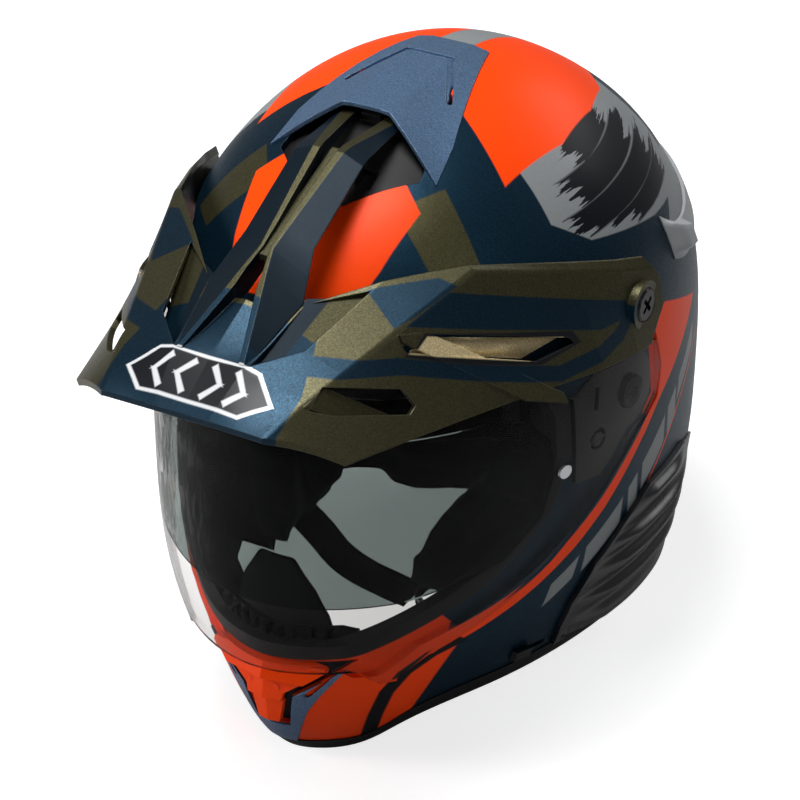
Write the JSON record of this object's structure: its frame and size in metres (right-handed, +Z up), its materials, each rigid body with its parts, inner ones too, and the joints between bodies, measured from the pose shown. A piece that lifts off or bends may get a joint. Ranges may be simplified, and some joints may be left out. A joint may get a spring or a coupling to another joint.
{
  "type": "dual sport helmet",
  "caption": "Full-face dual sport motorcycle helmet with a sun peak, lifting clear face shield, drop-down sun visor, top and chin vents, padding, straps and buckle rings.",
  "frame": {"origin": "on the plane the helmet stands on, under the middle of its length and width", "axes": "+Z up, the face looks along -Y, the wearer's left is +X"},
  "size_m": [0.2488, 0.3673, 0.3016],
  "materials": {
    "shell_paint": "satin metallic paint",
    "peak_paint": "satin metallic paint",
    "vent_paint": "satin metallic paint",
    "orange_paint": "satin paint",
    "grey_plastic": "satin",
    "black_plastic": "matt",
    "rubber": "matt",
    "foam": "fine bead",
    "fabric": "knit",
    "webbing": "woven webbing",
    "clear_shield": "clear",
    "tinted_visor": "smoke tint",
    "steel": "plated"
  },
  "bodies": {
    "helmet": {"outer_shell": "shell_paint", "base_trim": "rubber", "eyeport_gasket": "rubber", "eps_liner": "foam", "chin_liner": "foam", "chin_deck": "black_plastic", "cheek_pad_left": "fabric", "cheek_pad_right": "fabric", "crown_pad": "fabric", "neck_roll": "fabric", "peak": "peak_paint", "peak_boss_left": "black_plastic", "peak_boss_right": "black_plastic", "peak_screw_left": "black_plastic", "peak_screw_right": "black_plastic", "shield_base_left": "black_plastic", "shield_base_right": "black_plastic", "intake_tray": "black_plastic", "top_vent_cover": "vent_paint", "rear_spoiler": "grey_plastic", "side_skirt_left": "black_plastic", "side_skirt_right": "black_plastic", "chin_vent_grille": "black_plastic", "chin_vent_frame": "vent_paint", "demist_strip": "black_plastic", "breath_guard": "rubber", "strap_anchors": "steel", "chin_strap_left": "webbing", "chin_strap_right": "webbing"},
    "face_shield": {"face_shield": "clear_shield", "shield_hubs": "black_plastic", "insert_lens": "clear_shield", "insert_pins": "steel"},
    "sun_visor": {"sun_visor": "tinted_visor"},
    "visor_lever": {"sun_visor_slider": "black_plastic"},
    "top_vent_slider": {"top_vent_slider": "black_plastic"},
    "chin_vent_cover": {"chin_vent_cover": "orange_paint"},
    "d_rings": {"d_rings": "steel"}
  },
  "joints": [
    {"name": "shield_lift", "type": "hinge", "parent": "helmet", "child": "face_shield", "pos_m": [0, 0.008, 0.1656], "axis": [-1, 0, 0], "range_deg": [0, 30]},
    {"name": "sun_visor_swing", "type": "hinge", "parent": "helmet", "child": "sun_visor", "pos_m": [0, 0.018, 0.172], "axis": [1, 0, 0], "range_deg": [0, 38]},
    {"name": "visor_lever_slide", "type": "slide", "parent": "helmet", "child": "visor_lever", "axis": [0.43, 0.9028, 0], "range_m": [0, 0.012]},
    {"name": "top_vent_slide", "type": "slide", "parent": "helmet", "child": "top_vent_slider", "axis": [0, 0.9772, 0.2121], "range_m": [0, 0.005]},
    {"name": "chin_vent_slide", "type": "slide", "parent": "helmet", "child": "chin_vent_cover", "axis": [0, 0.1701, -0.9854], "range_m": [0, 0.003]},
    {"name": "ring_swing", "type": "hinge", "parent": "helmet", "child": "d_rings", "pos_m": [0.018, 0.006, 0.014], "axis": [0, 1, 0], "range_deg": [0, 50]}
  ],
  "couplings": [
    {"joint": "visor_lever_slide", "follows": "sun_visor_swing", "m_per_rad": 0.01809}
  ]
}
